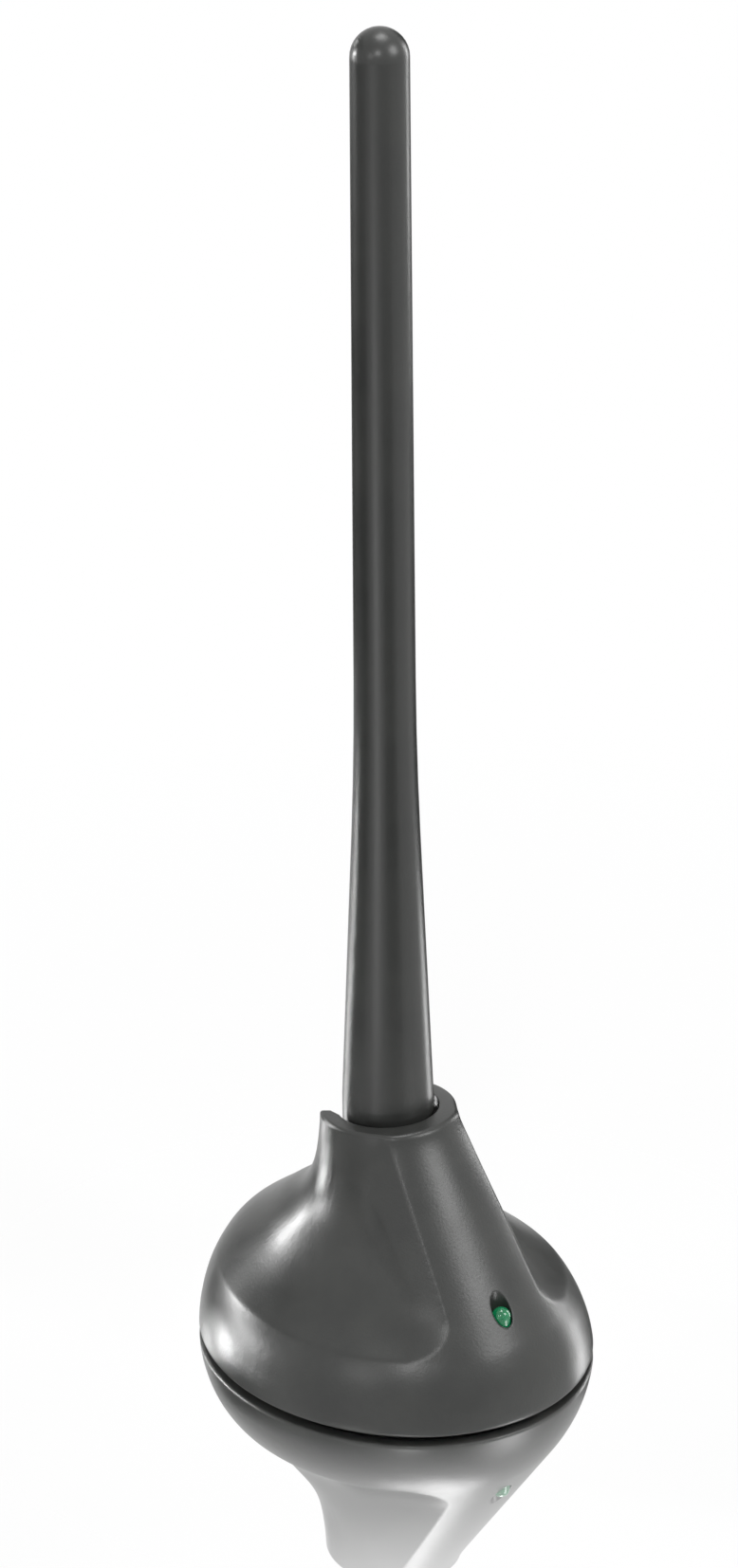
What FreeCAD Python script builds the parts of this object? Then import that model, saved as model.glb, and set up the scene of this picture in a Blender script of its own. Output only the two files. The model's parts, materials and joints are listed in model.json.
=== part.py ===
"""Indoor TV antenna: a tapered rod that folds back out of a sculpted table base."""
import FreeCAD
import Part
import os
import re
from enum import IntEnum

import Sketcher

# Every size in millimetres. Front is -Y (the lamp side), back is +Y, +Z is up, the floor is z = 0.
SIZES = {
    # plan of the base, measured from the middle of the footprint
    "base_front": 34.7,
    "base_back": 34.8,
    "base_side": 30.6,
    "skirt_bottom": 0.8,
    # neck that holds the foot of the rod
    "rod_axis": 1.5,
    "neck_radius": 10.85,
    "neck_squeeze": 0.1,
    "neck_rise": 8.0,
    "rim_rise": 6.5,
    "rim_slope": 4.0,
    # walls of the housing
    "wall": 2.0,
    "fit_gap": 0.3,
    # ridge that runs from the neck down to the lamp
    "ridge_low_half": 9.0,
    "ridge_taper": 19.8,
    "ridge_tilt": 44.0,
    # rod
    "rod_top": 219.4,
    "pivot_height": 36.0,
    "knuckle_radius": 7.35,
    "rod_foot_rise": 8.0,
    "blend_low": 90.0,
    "blend_low_radius": 5.42,
    "blend_high": 116.0,
    "blend_high_radius": 4.82,
    "bend_radius": 720.0,
    "tip_radius": 4.45,
    "rod_clearance": 0.9,
    "way_clearance": 0.4,
    "radiator_radius": 1.5,
    "radiator_top": 207.4,
    # pivot of the rod
    "pin_radius": 1.2,
    "pin_inner": 3.2,
    "pin_outer": 9.6,
    "pin_press": 0.02,
    "pin_clearance": 0.05,
    "boss_radius": 2.6,
    "boss_reach": 6.85,
    "washer_thickness": 0.5,
    "washer_gap": 0.05,
    "pocket_clearance": 0.6,
    "boss_margin": 0.1,
    # spring contact under the rod
    "plunger_radius": 1.5,
    "plunger_gap": 0.3,
    "plunger_overlap": 8.0,
    "barrel_radius": 2.3,
    "barrel_gap": 0.9,
    "barrel_bore_clearance": 0.1,
    "plunger_hole_clearance": 0.5,
    # floor of the base
    "plate_thickness": 2.0,
    "plate_gap": 1.0,
    "pad_inset": 2.6,
    # ballast
    "ballast_inset": 5.7,
    "ballast_thickness": 3.0,
    # screws that hold the floor plate
    "front_post_inset": 8.1,
    "front_post_y": -10.0,
    "rear_post_x": 15.0,
    "rear_post_inset": 12.8,
    "post_radius": 2.6,
    "case_screw_radius": 1.25,
    "case_screw_length": 9.0,
    "screw_head_height": 1.0,
    "screw_head_extra": 0.95,
    "screw_clearance": 0.15,
    "screw_bite": 0.02,
    # circuit board
    "board_height": 6.6,
    "board_thickness": 1.6,
    "board_length": 34.0,
    "board_width": 36.0,
    "tongue_width": 8.0,
    "tongue_margin": 1.1,
    "standoff_inset": 2.5,
    "standoff_margin": 3.0,
    "standoff_radius": 2.4,
    "board_screw_radius": 1.0,
    "board_screw_length": 4.2,
    # lamp
    "lamp_y": -27.2,
    "lamp_radius": 1.5,
    "lamp_shoulder": 16.0,
    "lamp_flange_extra": 0.4,
    "lamp_flange_height": 1.0,
    "lamp_flange_bottom": 10.6,
    "lamp_clearance": 0.25,
    "lamp_seat_gap": 0.1,
    "lead_pitch": 2.54,
    "lead_width": 0.5,
    "lead_tail": 0.5,
    "lead_hole_extra": 0.1,
    # parts on the board
    "can_length": 16.0,
    "can_width": 12.0,
    "can_height": 4.2,
    "can_wall": 0.4,
    "can_x": -10.0,
    "chip_size": 5.0,
    "chip_height": 1.2,
    "capacitor_radius": 2.5,
    "capacitor_height": 6.0,
    "capacitor_x": 10.0,
    "capacitor_y": 6.5,
    "terminal_length": 6.0,
    "terminal_width": 10.0,
    "terminal_height": 4.5,
    "terminal_edge": 1.0,
    "terminal_hole_radius": 1.0,
    # cable outlet at the back
    "gland_height": 6.6,
    "gland_radius": 2.8,
    "gland_bore": 1.9,
    "gland_flange_extra": 0.7,
    "gland_flange_length": 1.5,
    "gland_seat_depth": 3.8,
    "gland_reach": 0.9,
    "gland_taper": 0.5,
    "gland_clearance": 0.1,
}

# Cross-sections of the styled housing. Each row gives the rise from skirt to neck top and how far
# the front, back and sides spread from the neck (0) to the base plan (1).
SKIRT_SECTIONS = (
    (0.00, 1.000, 1.000, 1.000),
    (0.13, 0.955, 0.985, 0.935),
    (0.26, 0.850, 0.908, 0.755),
)
BELL_SECTIONS = (
    (0.33, 0.630, 0.825, 0.600),
    (0.40, 0.470, 0.668, 0.455),
    (0.47, 0.330, 0.490, 0.335),
    (0.54, 0.215, 0.310, 0.235),
    (0.61, 0.140, 0.155, 0.150),
    (0.68, 0.090, 0.075, 0.090),
    (0.75, 0.055, 0.040, 0.052),
    (0.82, 0.030, 0.022, 0.028),
    (0.89, 0.012, 0.012, 0.012),
    (0.96, 0.000, 0.006, 0.004),
    (1.03, -0.012, 0.000, 0.000),
)
RIDGE_TOP_SECTION = (1.00, -0.040, 0.080, 0.010)
# Up to which rise the hollow inside follows those sections.
HOLLOW_RISE = 0.55

X_AXIS = FreeCAD.Vector(1, 0, 0)
Y_AXIS = FreeCAD.Vector(0, 1, 0)
Z_AXIS = FreeCAD.Vector(0, 0, 1)
ALONG_X = FreeCAD.Rotation(Y_AXIS, 90)
ALONG_Y = FreeCAD.Rotation(X_AXIS, -90)
UPRIGHT = FreeCAD.Rotation()
SIDES = (("left", -1), ("right", 1))
ENDS = (("front", -1), ("rear", 1))


class SketchPoint(IntEnum):
    """Where on a curve a constraint holds."""

    START = 1
    END = 2
    CENTRE = 3


class RodCurve(IntEnum):
    """The arcs among the curves of the rod's outline."""

    FOOT = 0
    BEND = 3
    TIP = 5


class SketchAxis(IntEnum):
    """The fixed axes of a sketch."""

    ACROSS = -1
    UP = -2


doc = FreeCAD.newDocument("indoor_antenna")
sheet = doc.addObject("Spreadsheet::Sheet", "Sizes")
for row, (alias, value) in enumerate(SIZES.items(), start=1):
    sheet.set(f"A{row}", alias)
    sheet.set(f"B{row}", str(value))
    sheet.setAlias(f"B{row}", alias)
doc.recompute()


def linked(text):
    """Turn the size names in an expression into references to the sheet."""
    def reference(match):
        word = match.group(0)
        return f"Sizes.{word}" if word in SIZES else word
    return re.sub(r"[a-z][a-z_0-9]*", reference, str(text))


def bind(item, **sizes):
    """Bind properties of an object to expressions in the named sizes."""
    for name, text in sizes.items():
        item.setExpression(name, linked(text))
    return item


def place(item, at, turn=UPRIGHT):
    """Place an object by three expressions and a fixed rotation."""
    item.Placement = FreeCAD.Placement(FreeCAD.Vector(), turn)
    for axis, text in zip("xyz", at):
        item.setExpression(f"Placement.Base.{axis}", linked(text))
    return item


def box(name, low, high):
    """A block between two corners given as expressions."""
    block = doc.addObject("Part::Box", name)
    spans = [f"({top}) - ({bottom})" for bottom, top in zip(low, high)]
    bind(block, Length=spans[0], Width=spans[1], Height=spans[2])
    return place(block, low)


def cylinder(name, radius, length, at, turn=UPRIGHT):
    """A cylinder that starts at a point and runs along its turned axis."""
    rod = doc.addObject("Part::Cylinder", name)
    bind(rod, Radius=radius, Height=length)
    return place(rod, at, turn)


def cone(name, radii, length, at, turn=UPRIGHT):
    """A cone between two radii."""
    taper = doc.addObject("Part::Cone", name)
    bind(taper, Radius1=radii[0], Radius2=radii[1], Height=length)
    return place(taper, at, turn)


def sphere(name, radius, at):
    """A ball about a point."""
    ball = doc.addObject("Part::Sphere", name)
    bind(ball, Radius=radius)
    return place(ball, at)


def oval(name, height, front, back, side):
    """A level ellipse in two halves, given by its reach to the front, the back and the sides."""
    half_length = f"(({front}) + ({back})) / 2"
    is_long = f"{half_length} >= ({side})"
    halves = []
    for half, long_start, wide_start in (("front", 90, 180), ("back", 270, 0)):
        arc = doc.addObject("Part::Ellipse", f"{name}_{half}")
        bind(arc, MajorRadius=f"max({half_length}; {side})", MinorRadius=f"min({half_length}; {side})",
             Angle1=f"{is_long} ? {long_start} : {wide_start}",
             Angle2=f"{is_long} ? {(long_start + 180) % 360} : {wide_start + 180}")
        place(arc, ("0", f"(({back}) - ({front})) / 2", height), FreeCAD.Rotation(Z_AXIS, 90))
        halves.append(bind(arc, **{"Placement.Rotation.Angle": f"{is_long} ? 90 : 0"}))
    return group(name, halves)


def loft(name, sections, ruled=False):
    """A solid skinned over its sections."""
    skin = doc.addObject("Part::Loft", name)
    skin.Sections = sections
    skin.Solid = True
    skin.Ruled = ruled
    return skin


def fuse(name, pieces):
    """One solid from several."""
    joined = doc.addObject("Part::MultiFuse", name)
    joined.Shapes = pieces
    return joined


def common(name, pieces):
    """What all the pieces share."""
    shared = doc.addObject("Part::MultiCommon", name)
    shared.Shapes = pieces
    return shared


def cut(name, base, tools):
    """A solid with the tools taken out of it."""
    taken = doc.addObject("Part::Cut", name)
    taken.Base = base
    taken.Tool = tools[0] if len(tools) == 1 else fuse(f"{name}_tools", tools)
    return taken


def group(name, pieces):
    """Separate like pieces that share one node."""
    bundle = doc.addObject("Part::Compound", name)
    bundle.Links = pieces
    return bundle


NECK_TOP = "(pivot_height + neck_rise)"


def rise_height(rise):
    """Height of a section of the housing."""
    return f"skirt_bottom + ({NECK_TOP} - skirt_bottom) * {rise}"


def spread(name, shares, inset="0", drop="0"):
    """One section of the housing, drawn in and lowered by a wall where it belongs to the inside."""
    rise, front, back, side = shares
    neck_front = "(neck_radius - rod_axis)"
    neck_back = "(neck_radius + rod_axis)"
    neck_side = "(neck_radius - neck_squeeze)"
    return oval(
        name,
        f"{rise_height(rise)} - {drop}",
        f"{neck_front} + (base_front - {neck_front}) * {front} - {inset}",
        f"{neck_back} + (base_back - {neck_back}) * {back} - {inset}",
        f"{neck_side} + (base_side - {neck_side}) * {side} - {inset}",
    )


def ridge_form(envelope):
    """The ridge from the neck to the lamp: a wedge that narrows forwards and upwards."""
    rise, front, _, _ = SKIRT_SECTIONS[-1]
    low_reach = f"(neck_radius - rod_axis + (base_front - neck_radius + rod_axis) * {front})"
    low_along = f"({low_reach} * sin(ridge_tilt) + ({rise_height(rise)}) * cos(ridge_tilt))"
    back_half = f"(ridge_low_half + {low_along} * tan(ridge_taper))"
    front_half = f"(ridge_low_half + ({low_along} - {NECK_TOP}) * tan(ridge_taper))"
    wedge = doc.addObject("Part::Wedge", "ridge_wedge")
    bind(wedge, Xmin=f"-{back_half}", Xmax=back_half, X2min=f"-{front_half}", X2max=front_half,
         Ymin="0", Ymax=NECK_TOP, Zmin=f"-{NECK_TOP}", Zmax="base_front", Z2min=f"-{NECK_TOP}",
         Z2max="base_front")
    place(wedge, ("0", "0", "0"), FreeCAD.Rotation(X_AXIS, 90))
    bind(wedge, **{"Placement.Rotation.Angle": "90 + ridge_tilt"})
    front_space = box("front_space", ("-base_side", "-base_front", "0"), ("base_side", "0", NECK_TOP))
    return common("ridge", [envelope, common("ridge_blank", [wedge, front_space])])


def styled_forms():
    """The three forms of the outside: the skirt, the bell on it and the ridge down its front."""
    skirt_rings = [spread(f"skirt_ring_{i}", row) for i, row in enumerate(SKIRT_SECTIONS)]
    crease = skirt_rings[-1]
    bell_rings = [spread(f"bell_ring_{i}", row) for i, row in enumerate(BELL_SECTIONS)]
    envelope = loft("ridge_envelope", [crease, spread("ridge_top_ring", RIDGE_TOP_SECTION)], ruled=True)
    return loft("skirt", skirt_rings), loft("bell", [crease] + bell_rings), ridge_form(envelope)


def above_rim():
    """The space above the rim, which slopes down to the back."""
    space = doc.addObject("Part::Box", "above_rim")
    bind(space, Length="base_side * 4", Width="base_back * 4", Height=NECK_TOP)
    corner_height = "pivot_height + rim_rise + (base_front + rod_axis - neck_radius) * tan(rim_slope)"
    place(space, ("-base_side * 2", "-base_front", corner_height), FreeCAD.Rotation(X_AXIS, 1))
    return bind(space, **{"Placement.Rotation.Angle": "-rim_slope"})


def post_places():
    """Where the four screws of the floor plate stand."""
    rows = (("front", "(base_side - front_post_inset)", "front_post_y"),
            ("rear", "rear_post_x", "base_back - rear_post_inset"))
    return [(f"{side}_{end}", f"{sign} * {x}", y) for end, x, y in rows for side, sign in SIDES]


def standoff_places():
    """Where the four screws of the board stand."""
    x = "(board_width / 2 - standoff_inset)"
    y = "(board_length / 2 - standoff_margin)"
    return [(f"{side}_{end}", f"{across} * {x}", f"{along} * {y}")
            for end, along in ENDS for side, across in SIDES]


PLATE_TOP = "(skirt_bottom + plate_thickness)"
BOARD_TOP = "(board_height + board_thickness)"
CONTACT_TOP = "(pivot_height - knuckle_radius - plunger_gap)"
HOLLOW_ROWS = SKIRT_SECTIONS[:-1] + tuple(row for row in BELL_SECTIONS if row[0] < HOLLOW_RISE)
BARREL_LENGTH = f"({rise_height(HOLLOW_ROWS[-1][0])} - wall - barrel_gap - {BOARD_TOP})"
PLUNGER_FOOT = f"({BOARD_TOP} + {BARREL_LENGTH} - plunger_overlap)"
FLANGE_RADIUS = "(lamp_radius + lamp_flange_extra)"
FLANGE_TOP = "(lamp_flange_bottom + lamp_flange_height)"
GLAND_SEAT = "(base_back - gland_seat_depth)"
GLAND_FLANGE = "(gland_radius + gland_flange_extra)"


def pivot_cylinder(name, radius, near, far, sign):
    """A cylinder on the pivot axis between two distances from the middle, on one side."""
    start = near if sign > 0 else f"-({far})"
    return cylinder(name, radius, f"({far}) - ({near})", (start, "rod_axis", "pivot_height"), ALONG_X)


def rod_seat():
    """The cradle for the rod: an upright bore round two bosses, with a way out at the back."""
    bore_radius = "(knuckle_radius + rod_clearance)"
    way_half = "(knuckle_radius + way_clearance)"
    bottom = f"(pivot_height - {bore_radius})"
    bore = cylinder("rod_bore", bore_radius, f"{NECK_TOP} + wall - {bottom}", ("0", "rod_axis", bottom))
    bosses = [pivot_cylinder(f"boss_{side}", "boss_radius", "boss_reach", "neck_radius", sign)
              for side, sign in SIDES]
    way_start = "rod_axis + boss_radius + boss_margin"
    way_out = box("rod_way", (f"-{way_half}", way_start, "pivot_height"),
                  (way_half, "base_back", f"{NECK_TOP} + wall"))
    trough = cylinder("rod_trough", way_half, "base_back", ("0", way_start, "pivot_height"), ALONG_Y)
    return [cut("bore_round_bosses", bore, bosses), trough, way_out]


def cavity():
    """The hollow inside the base, open at the bottom and left solid at the screw posts."""
    rings = [spread(f"hollow_ring_{i}", row, "wall", "wall") for i, row in enumerate(HOLLOW_ROWS)]
    hollow = loft("hollow", rings)
    posts = [cylinder(f"post_{name}", "post_radius", "pivot_height", (x, y, PLATE_TOP))
             for name, x, y in post_places()]
    return cut("cavity", hollow, posts)


def top_housing():
    """The moulded shell of the base with its neck, pivot bosses and screw posts."""
    skirt, bell, ridge = styled_forms()
    rim = above_rim()
    seat = rod_seat()
    open_bell = cut("open_bell", cut("trimmed_bell", bell, [rim]), seat)
    open_ridge = cut("open_ridge", cut("trimmed_ridge", ridge, [rim]), seat[:1])
    front = fuse("bell_and_ridge", [open_bell, open_ridge])
    shell = cut("hollow_form", fuse("closed_form", [front, skirt]), [cavity()])
    sockets = [pivot_cylinder(f"socket_{side}", "pin_radius + pin_clearance", "pin_inner",
                              "pin_outer + pin_clearance", sign) for side, sign in SIDES]
    screw_holes = [cylinder(f"post_hole_{name}", "case_screw_radius + screw_bite",
                            "case_screw_length + screw_clearance", (x, y, "skirt_bottom"))
                   for name, x, y in post_places()]
    plunger_hole = cylinder("plunger_hole", "plunger_radius + plunger_hole_clearance",
                            "pivot_height - skirt_bottom - wall * 2",
                            ("0", "rod_axis", "skirt_bottom + wall"))
    lamp_hole = cylinder("lamp_hole", "lamp_radius + lamp_clearance", f"{NECK_TOP} - lamp_flange_bottom",
                         ("0", "lamp_y", "lamp_flange_bottom"))
    lamp_seat = cylinder("lamp_seat", f"{FLANGE_RADIUS} + fit_gap",
                         f"{FLANGE_TOP} + lamp_seat_gap - {BOARD_TOP}", ("0", "lamp_y", BOARD_TOP))
    gland_hole = cylinder("gland_hole", "gland_radius + gland_clearance", "base_back / 2",
                          ("0", f"{GLAND_SEAT} - wall", "gland_height"), ALONG_Y)
    gland_seat = cylinder("gland_seat", f"{GLAND_FLANGE} + fit_gap", "base_back / 4",
                          ("0", f"{GLAND_SEAT} - base_back / 4", "gland_height"), ALONG_Y)
    cuts = screw_holes + sockets + [plunger_hole, lamp_hole, lamp_seat, gland_hole, gland_seat]
    return cut("top_housing", shell, cuts)


def plate_oval(name, height, inset):
    """The plan of the base drawn in by an inset."""
    return oval(name, height, f"base_front - {inset}", f"base_back - {inset}", f"base_side - {inset}")


def base_plate():
    """The floor plate with its standoffs and sunk screw holes."""
    inset = "(wall + plate_gap)"
    plate = loft("plate", [plate_oval("plate_low", "skirt_bottom", inset),
                           plate_oval("plate_high", PLATE_TOP, inset)], ruled=True)
    standoffs = [cylinder(f"standoff_{name}", "standoff_radius", f"board_height - {PLATE_TOP}",
                          (x, y, PLATE_TOP)) for name, x, y in standoff_places()]
    solid = fuse("plate_solid", [plate] + standoffs)
    holes = []
    for name, x, y in post_places():
        holes.append(cylinder(f"plate_hole_{name}", "case_screw_radius + screw_clearance",
                              "plate_thickness", (x, y, "skirt_bottom")))
        holes.append(cylinder(f"plate_sink_{name}",
                              "case_screw_radius + screw_head_extra + screw_clearance",
                              "screw_head_height + screw_clearance", (x, y, "skirt_bottom")))
    for name, x, y in standoff_places():
        holes.append(cylinder(f"standoff_hole_{name}", "board_screw_radius + screw_bite",
                              "board_screw_length + screw_clearance",
                              (x, y, f"{BOARD_TOP} - board_screw_length - screw_clearance")))
    return cut("base_plate", solid, holes)


def foot_pad():
    """The thin rubber foot under the floor plate."""
    return loft("foot_pad", [plate_oval("pad_low", "0", "(wall + pad_inset)"),
                             plate_oval("pad_high", "skirt_bottom", "(wall + pad_inset)")], ruled=True)


def ballast_weight():
    """The steel plate that keeps the base down, notched round the posts and standoffs."""
    plate = loft("ballast_plate", [plate_oval("ballast_low", PLATE_TOP, "ballast_inset"),
                                   plate_oval("ballast_high", f"{PLATE_TOP} + ballast_thickness",
                                              "ballast_inset")], ruled=True)
    notches = [cylinder(f"notch_{radius}_{name}", f"{radius} + fit_gap", "ballast_thickness",
                        (x, y, PLATE_TOP))
               for radius, places in (("post_radius", post_places()), ("standoff_radius", standoff_places()))
               for name, x, y in places]
    return cut("ballast_weight", plate, notches)


def screw(name, radius, length, head_at, at, upward):
    """A pan-head screw: its head against a face and its shank running on from it."""
    x, y = at
    head_start = head_at if upward else f"{head_at} - screw_head_height"
    shank_start = f"{head_at} - ({length})" if upward else head_at
    head = cylinder(f"{name}_head", f"{radius} + screw_head_extra", "screw_head_height", (x, y, head_start))
    shank = cylinder(f"{name}_shank", radius, length, (x, y, shank_start))
    return fuse(name, [head, shank])


def case_screws():
    """Four screws from below, through the floor plate into the posts."""
    head_face = "skirt_bottom + screw_head_height + screw_clearance"
    shank = "case_screw_length - screw_head_height - screw_clearance"
    return group("case_screws", [screw(f"case_screw_{name}", "case_screw_radius", shank, head_face,
                                       (x, y), False) for name, x, y in post_places()])


def board_screws():
    """Four screws from above, through the board into the standoffs."""
    return group("board_screws", [screw(f"board_screw_{name}", "board_screw_radius", "board_screw_length",
                                        BOARD_TOP, (x, y), True) for name, x, y in standoff_places()])


def lead_places():
    """Where the lamp's two leads stand."""
    return [(side, f"{sign} * lead_pitch / 2") for side, sign in SIDES]


def circuit_board():
    """The amplifier board with a tongue that carries the lamp."""
    main = box("board_main", ("-board_width / 2", "-board_length / 2", "board_height"),
               ("board_width / 2", "board_length / 2", BOARD_TOP))
    tongue = box("board_tongue", ("-tongue_width / 2", "lamp_y - tongue_margin", "board_height"),
                 ("tongue_width / 2", "0", BOARD_TOP))
    holes = [cylinder(f"board_hole_{name}", "board_screw_radius + screw_clearance", "board_thickness",
                      (x, y, "board_height")) for name, x, y in standoff_places()]
    holes += [cylinder(f"lead_hole_{side}", "lead_width * 0.71 + lead_hole_extra", "board_thickness",
                       (x, "lamp_y", "board_height")) for side, x in lead_places()]
    return cut("circuit_board", fuse("board_blank", [main, tongue]), holes)


def shield_can():
    """The folded tin screen over the amplifier, open below."""
    low = ("can_x - can_width / 2", "-can_length / 2", BOARD_TOP)
    high = ("can_x + can_width / 2", "can_length / 2", f"{BOARD_TOP} + can_height")
    inner_low = (f"{low[0]} + can_wall", f"{low[1]} + can_wall", BOARD_TOP)
    inner_high = tuple(f"{edge} - can_wall" for edge in high)
    return cut("shield_can", box("can_outside", low, high), [box("can_inside", inner_low, inner_high)])


def amplifier_chip():
    """The amplifier under the can."""
    return box("amplifier_chip", ("can_x - chip_size / 2", "-chip_size / 2", BOARD_TOP),
               ("can_x + chip_size / 2", "chip_size / 2", f"{BOARD_TOP} + chip_height"))


def board_capacitors():
    """Two round capacitors on the board."""
    return group("board_capacitors", [cylinder(f"capacitor_{end}", "capacitor_radius", "capacitor_height",
                                               ("capacitor_x", f"{sign} * capacitor_y", BOARD_TOP))
                                      for end, sign in ENDS])


def cable_terminal():
    """The block at the back of the board where the cable's cores end."""
    back = "board_length / 2 - terminal_edge"
    block = box("terminal_block", ("-terminal_width / 2", f"{back} - terminal_length", BOARD_TOP),
                ("terminal_width / 2", back, f"{BOARD_TOP} + terminal_height"))
    holes = [cylinder(f"terminal_hole_{side}", "terminal_hole_radius", "terminal_length / 2",
                      (f"{sign} * terminal_width / 4", f"{back} - terminal_length / 2",
                       f"{BOARD_TOP} + terminal_height / 2"), ALONG_Y) for side, sign in SIDES]
    return cut("cable_terminal", block, holes)


def led_lens():
    """The round lamp: flange, barrel and dome."""
    foot = ("0", "lamp_y", "lamp_flange_bottom")
    flange = cylinder("lamp_flange", FLANGE_RADIUS, "lamp_flange_height", foot)
    barrel = cylinder("lamp_barrel", "lamp_radius", "lamp_shoulder - lamp_flange_bottom", foot)
    dome = sphere("lamp_dome", "lamp_radius", ("0", "lamp_y", "lamp_shoulder"))
    return fuse("led_lens", [flange, barrel, dome])


def led_spacer():
    """The sleeve that holds the lamp up from the board."""
    length = f"lamp_flange_bottom - {BOARD_TOP}"
    outside = cylinder("spacer_outside", FLANGE_RADIUS, length, ("0", "lamp_y", BOARD_TOP))
    holes = [cylinder(f"spacer_hole_{side}", "lead_width * 0.71 + lead_hole_extra", length,
                      (x, "lamp_y", BOARD_TOP)) for side, x in lead_places()]
    return cut("led_spacer", outside, holes)


def led_leads():
    """The lamp's two square leads, down through the board."""
    return group("led_leads", [box(f"lead_{side}",
                                   (f"{x} - lead_width / 2", "lamp_y - lead_width / 2",
                                    "board_height - lead_tail"),
                                   (f"{x} + lead_width / 2", "lamp_y + lead_width / 2",
                                    "lamp_flange_bottom")) for side, x in lead_places()])


def cable_gland():
    """The rubber outlet at the back of the skirt."""
    flange = cylinder("gland_flange", GLAND_FLANGE, "gland_flange_length",
                      ("0", f"{GLAND_SEAT} - gland_flange_length", "gland_height"), ALONG_Y)
    neck = cylinder("gland_neck", "gland_radius", "gland_seat_depth",
                    ("0", GLAND_SEAT, "gland_height"), ALONG_Y)
    nose = cone("gland_nose", ("gland_radius", "gland_radius - gland_taper"), "gland_reach",
                ("0", "base_back", "gland_height"), ALONG_Y)
    bore = cylinder("gland_bore_tool", "gland_bore", "gland_seat_depth + gland_reach + gland_flange_length",
                    ("0", f"{GLAND_SEAT} - gland_flange_length", "gland_height"), ALONG_Y)
    return cut("cable_gland", fuse("gland_solid", [flange, neck, nose]), [bore])


def plunger_barrel():
    """The tube on the board that guides the spring contact."""
    at = ("0", "rod_axis", BOARD_TOP)
    return cut("plunger_barrel", cylinder("barrel_outside", "barrel_radius", BARREL_LENGTH, at),
               [cylinder("barrel_bore", "plunger_radius + barrel_bore_clearance", BARREL_LENGTH, at)])


def contact_plunger():
    """The spring contact that feeds the rod from below, with a round tip."""
    shank = cylinder("plunger_shank", "plunger_radius", f"{CONTACT_TOP} - plunger_radius - {PLUNGER_FOOT}",
                     ("0", "rod_axis", PLUNGER_FOOT))
    tip = sphere("plunger_tip", "plunger_radius", ("0", "rod_axis", f"{CONTACT_TOP} - plunger_radius"))
    return fuse("contact_plunger", [shank, tip])


def contact_spring():
    """The coil spring under the plunger."""
    wire = "plunger_radius / 5"
    coil = doc.addObject("Part::Helix", "spring_coil")
    bind(coil, Radius="plunger_radius * 0.7", Pitch="plunger_radius * 0.9",
         Height=f"{PLUNGER_FOOT} - {BOARD_TOP} - {wire} * 2")
    place(coil, ("0", "rod_axis", f"{BOARD_TOP} + {wire}"))
    ring = doc.addObject("Part::Circle", "spring_wire")
    bind(ring, Radius=wire)
    place(ring, ("plunger_radius * 0.7", "rod_axis", f"{BOARD_TOP} + {wire}"), FreeCAD.Rotation(X_AXIS, 90))
    sweep = doc.addObject("Part::Sweep", "contact_spring")
    sweep.Sections = [ring]
    sweep.Spine = (coil, [])
    sweep.Solid = True
    sweep.Frenet = True
    return sweep


def friction_washers():
    """The washers that make the rod stay where it is set."""
    washers = []
    for side, sign in SIDES:
        near = "boss_reach - washer_gap - washer_thickness"
        start = near if sign > 0 else "-boss_reach + washer_gap"
        at = (start, "rod_axis", "pivot_height")
        disc = cylinder(f"washer_disc_{side}", "boss_radius", "washer_thickness", at, ALONG_X)
        hole = cylinder(f"washer_hole_{side}", "pin_radius + pin_clearance", "washer_thickness", at, ALONG_X)
        washers.append(cut(f"washer_{side}", disc, [hole]))
    return group("friction_washers", washers)


def hinge_pins():
    """Two stub pins, pressed into the foot of the rod and turning in the cheeks of the neck."""
    pins = []
    for side, sign in SIDES:
        start = "pin_inner" if sign > 0 else "-pin_outer"
        pins.append(cylinder(f"pin_{side}", "pin_radius", "pin_outer - pin_inner",
                             (start, "rod_axis", "pivot_height"), ALONG_X))
    return group("hinge_pins", pins)


def corner_ends(sketch, corners):
    """For each corner, the curve ends that lie on it."""
    ends = {index: [] for index in range(len(corners))}
    for curve_index, curve in enumerate(sketch.Geometry):
        for position, point in ((SketchPoint.START, curve.StartPoint), (SketchPoint.END, curve.EndPoint)):
            nearest = min(ends, key=lambda index: (corners[index] - point).Length)
            ends[nearest].append((curve_index, position))
    return ends


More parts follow.
